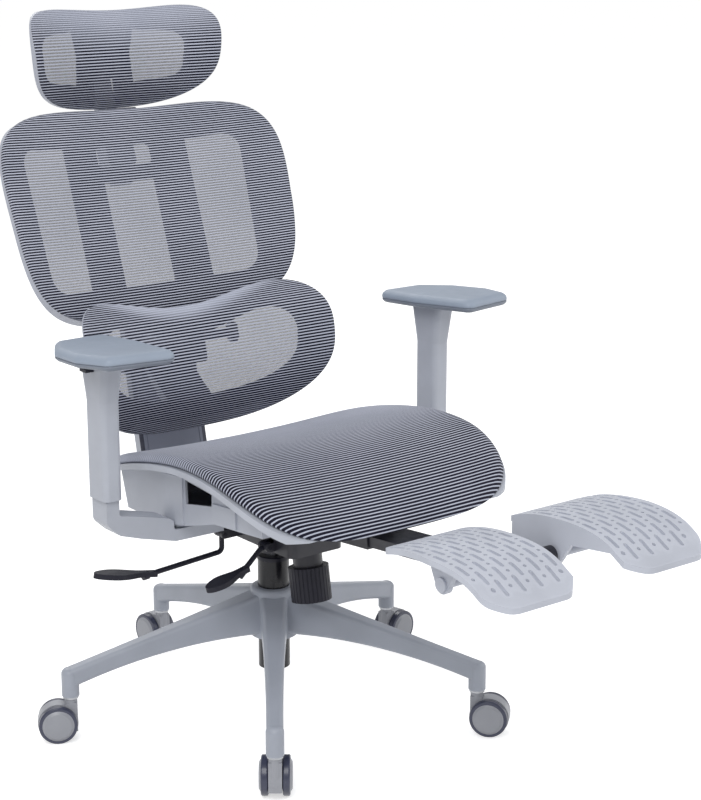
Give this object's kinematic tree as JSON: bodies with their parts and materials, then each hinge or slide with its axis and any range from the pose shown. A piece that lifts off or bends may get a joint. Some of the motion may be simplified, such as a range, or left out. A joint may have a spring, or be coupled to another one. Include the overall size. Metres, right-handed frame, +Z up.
{
  "type": "office_chair",
  "caption": "Reclining mesh office chair with headrest, lumbar support, adjustable arms, five-star base and a pull-out footrest with two folding pedals.",
  "frame": {"origin": "On the floor, on the axis of the gas lift.", "axes": "+Z up; the sitter faces -Y; +X is the sitter's left hand."},
  "size_m": [0.7716, 1.2429, 1.0923],
  "materials": {
    "black_metal": "fine-texture black powder coat",
    "black_tube": "smooth black enamel",
    "chrome": "polished",
    "cover": "slate satin cover",
    "dark_plastic": "matt black moulding",
    "grey_plastic": "fine-grain satin moulded surface",
    "hub": "grey moulded disc",
    "light_grey_plastic": "fine-grain satin moulded surface",
    "mesh": "banded knitted mesh, close and sheer bands in turn",
    "pad": "soft blue-grey self-skinning foam",
    "steel": "bright zinc-plated steel",
    "tyre": "glossy slate polyurethane"
  },
  "bodies": {
    "base": {"star_base": "grey_plastic", "gas_lift_tube": "black_tube", "gas_lift_bush": "dark_plastic", "caster_stems": "steel"},
    "caster_1": {"caster_1_hood": "hub"},
    "caster_1_wheels": {"caster_1_hubs": "hub", "caster_1_tyres": "tyre"},
    "caster_2": {"caster_2_hood": "hub"},
    "caster_2_wheels": {"caster_2_hubs": "hub", "caster_2_tyres": "tyre"},
    "caster_3": {"caster_3_hood": "hub"},
    "caster_3_wheels": {"caster_3_hubs": "hub", "caster_3_tyres": "tyre"},
    "caster_4": {"caster_4_hood": "hub"},
    "caster_4_wheels": {"caster_4_hubs": "hub", "caster_4_tyres": "tyre"},
    "caster_5": {"caster_5_hood": "hub"},
    "caster_5_wheels": {"caster_5_hubs": "hub", "caster_5_tyres": "tyre"},
    "lift_rod": {"gas_lift_rod": "steel"},
    "column": {"gas_lift_column": "chrome", "mechanism_box": "black_metal", "pan_bolts": "steel", "recline_shaft": "steel", "tension_tube": "black_metal", "seat_pan": "grey_plastic", "seat_frame": "grey_plastic", "seat_mesh": "mesh", "arm_bracket_left": "grey_plastic", "arm_bracket_right": "grey_plastic", "footrest_guide": "black_metal"},
    "release_button": {"release_button": "steel"},
    "height_lever": {"height_lever": "black_metal"},
    "tilt_lever": {"tilt_lever": "black_metal"},
    "tension_knob": {"tension_knob": "dark_plastic"},
    "arm_right": {"arm_sleeve_right": "grey_plastic"},
    "arm_trigger_right": {"arm_trigger_right": "dark_plastic"},
    "arm_plate_right": {"arm_plate_right": "dark_plastic"},
    "arm_pad_right": {"arm_pad_right": "pad"},
    "arm_left": {"arm_sleeve_left": "grey_plastic"},
    "arm_trigger_left": {"arm_trigger_left": "dark_plastic"},
    "arm_plate_left": {"arm_plate_left": "dark_plastic"},
    "arm_pad_left": {"arm_pad_left": "pad"},
    "back": {"back_spine": "grey_plastic", "spine_cover": "cover", "back_bolts": "steel", "upper_back_shell": "grey_plastic", "upper_back_mesh": "mesh", "headrest_guide": "grey_plastic"},
    "lumbar": {"lumbar_carrier": "grey_plastic", "lumbar_frame": "grey_plastic", "lumbar_mesh": "mesh"},
    "headrest_post": {"headrest_post": "grey_plastic"},
    "headrest": {"headrest_shell": "grey_plastic", "headrest_mesh": "mesh", "headrest_pin": "steel"},
    "footrest": {"footrest_rail": "black_metal", "footrest_axle": "steel"},
    "pedal_right": {"pedal_right": "light_grey_plastic"},
    "pedal_left": {"pedal_left": "light_grey_plastic"}
  },
  "joints": [
    {"name": "caster_1_swivel", "type": "hinge", "parent": "base", "child": "caster_1", "pos_m": [-0.19374, -0.26961, 0.051], "axis": [0, 0, 1], "continuous": true},
    {"name": "caster_1_roll", "type": "hinge", "parent": "caster_1", "child": "caster_1_wheels", "pos_m": [-0.18081, -0.25306, 0.03], "axis": [0.788, -0.6157, 0], "continuous": true},
    {"name": "caster_2_swivel", "type": "hinge", "parent": "base", "child": "caster_2", "pos_m": [0.19655, -0.26757, 0.051], "axis": [0, 0, 1], "continuous": true},
    {"name": "caster_2_roll", "type": "hinge", "parent": "caster_2", "child": "caster_2_wheels", "pos_m": [0.21005, -0.28365, 0.03], "axis": [-0.766, -0.6428, 0], "continuous": true},
    {"name": "caster_3_swivel", "type": "hinge", "parent": "base", "child": "caster_3", "pos_m": [0.31521, 0.10425, 0.051], "axis": [0, 0, 1], "continuous": true},
    {"name": "caster_3_roll", "type": "hinge", "parent": "caster_3", "child": "caster_3_wheels", "pos_m": [0.33582, 0.10825, 0.03], "axis": [0.1908, -0.9816, 0], "continuous": true},
    {"name": "caster_4_swivel", "type": "hinge", "parent": "base", "child": "caster_4", "pos_m": [-0.00174, 0.33199, 0.051], "axis": [0, 0, 1], "continuous": true},
    {"name": "caster_4_roll", "type": "hinge", "parent": "caster_4", "child": "caster_4_wheels", "pos_m": [-0.00284, 0.35297, 0.03], "axis": [0.9986, 0.0523, 0], "continuous": true},
    {"name": "caster_5_swivel", "type": "hinge", "parent": "base", "child": "caster_5", "pos_m": [-0.31628, 0.10094, 0.051], "axis": [0, 0, 1], "continuous": true},
    {"name": "caster_5_roll", "type": "hinge", "parent": "caster_5", "child": "caster_5_wheels", "pos_m": [-0.33483, 0.1108, 0.03], "axis": [0.4695, 0.8829, 0], "continuous": true},
    {"name": "seat_swivel", "type": "hinge", "parent": "base", "child": "lift_rod", "pos_m": [0, 0, 0.08], "axis": [0, 0, 1], "continuous": true},
    {"name": "seat_height", "type": "slide", "parent": "lift_rod", "child": "column", "axis": [0, 0, 1], "range_m": [0, 0.08]},
    {"name": "release_button_press", "type": "slide", "parent": "column", "child": "release_button", "axis": [0, 0, -1], "range_m": [0, 0.0057]},
    {"name": "height_lever_lift", "type": "hinge", "parent": "column", "child": "height_lever", "pos_m": [-0.06, -0.064, 0.305], "axis": [0, 1, 0], "range_deg": [0, 5], "stiffness_Nm_per_rad": 8, "springref_deg": -11.46},
    {"name": "tilt_lever_lift", "type": "hinge", "parent": "column", "child": "tilt_lever", "pos_m": [-0.098, 0, 0.318], "axis": [0, 1, 0], "range_deg": [0, 12], "stiffness_Nm_per_rad": 2, "springref_deg": -22.92},
    {"name": "tension_knob_turn", "type": "hinge", "parent": "column", "child": "tension_knob", "pos_m": [0, -0.0946, 0.25555], "axis": [0, -0.165, -0.9863], "continuous": true},
    {"name": "arm_right_height", "type": "slide", "parent": "column", "child": "arm_right", "axis": [0, 0, 1], "range_m": [0, 0.07]},
    {"name": "arm_trigger_right_press", "type": "slide", "parent": "arm_right", "child": "arm_trigger_right", "axis": [0, 0, 1], "range_m": [0, 0.004], "stiffness_N_per_m": 150, "springref_m": -0.004},
    {"name": "arm_pad_right_turn", "type": "hinge", "parent": "arm_right", "child": "arm_plate_right", "pos_m": [-0.3115, -0.016, 0.625], "axis": [0, 0.0698, 0.9976], "range_deg": [-20, 20]},
    {"name": "arm_pad_right_slide", "type": "slide", "parent": "arm_plate_right", "child": "arm_pad_right", "axis": [0, 0.9976, -0.0698], "range_m": [-0.025, 0.025]},
    {"name": "arm_left_height", "type": "slide", "parent": "column", "child": "arm_left", "axis": [0, 0, 1], "range_m": [0, 0.07]},
    {"name": "arm_trigger_left_press", "type": "slide", "parent": "arm_left", "child": "arm_trigger_left", "axis": [0, 0, 1], "range_m": [0, 0.004], "stiffness_N_per_m": 150, "springref_m": -0.004},
    {"name": "arm_pad_left_turn", "type": "hinge", "parent": "arm_left", "child": "arm_plate_left", "pos_m": [0.3115, -0.016, 0.625], "axis": [0, 0.0698, 0.9976], "range_deg": [-20, 20]},
    {"name": "arm_pad_left_slide", "type": "slide", "parent": "arm_plate_left", "child": "arm_pad_left", "axis": [0, 0.9976, -0.0698], "range_m": [-0.025, 0.025]},
    {"name": "back_recline", "type": "hinge", "parent": "column", "child": "back", "pos_m": [0, 0.07, 0.326], "axis": [-1, 0, 0], "range_deg": [0, 26], "stiffness_Nm_per_rad": 60, "springref_deg": -45.84},
    {"name": "lumbar_height", "type": "slide", "parent": "back", "child": "lumbar", "axis": [0, 0.2096, 0.9778], "range_m": [0, 0.015]},
    {"name": "headrest_height", "type": "slide", "parent": "back", "child": "headrest_post", "axis": [0, 0.3469, 0.9379], "range_m": [0, 0.04]},
    {"name": "headrest_tilt", "type": "hinge", "parent": "headrest_post", "child": "headrest", "pos_m": [0, 0.49394, 0.98494], "axis": [-1, 0, 0], "range_deg": [0, 25]},
    {"name": "footrest_slide", "type": "slide", "parent": "column", "child": "footrest", "axis": [0, 0.9964, -0.0847], "range_m": [0, 0.15]},
    {"name": "pedal_right_flip", "type": "hinge", "parent": "footrest", "child": "pedal_right", "pos_m": [-0.118, -0.586, 0.413], "axis": [1, 0, 0], "range_deg": [0, 180]},
    {"name": "pedal_left_flip", "type": "hinge", "parent": "footrest", "child": "pedal_left", "pos_m": [0.118, -0.586, 0.413], "axis": [1, 0, 0], "range_deg": [0, 180]}
  ],
  "couplings": [
    {"joint": "release_button_press", "follows": "height_lever_lift", "m_per_rad": 0.065}
  ]
}
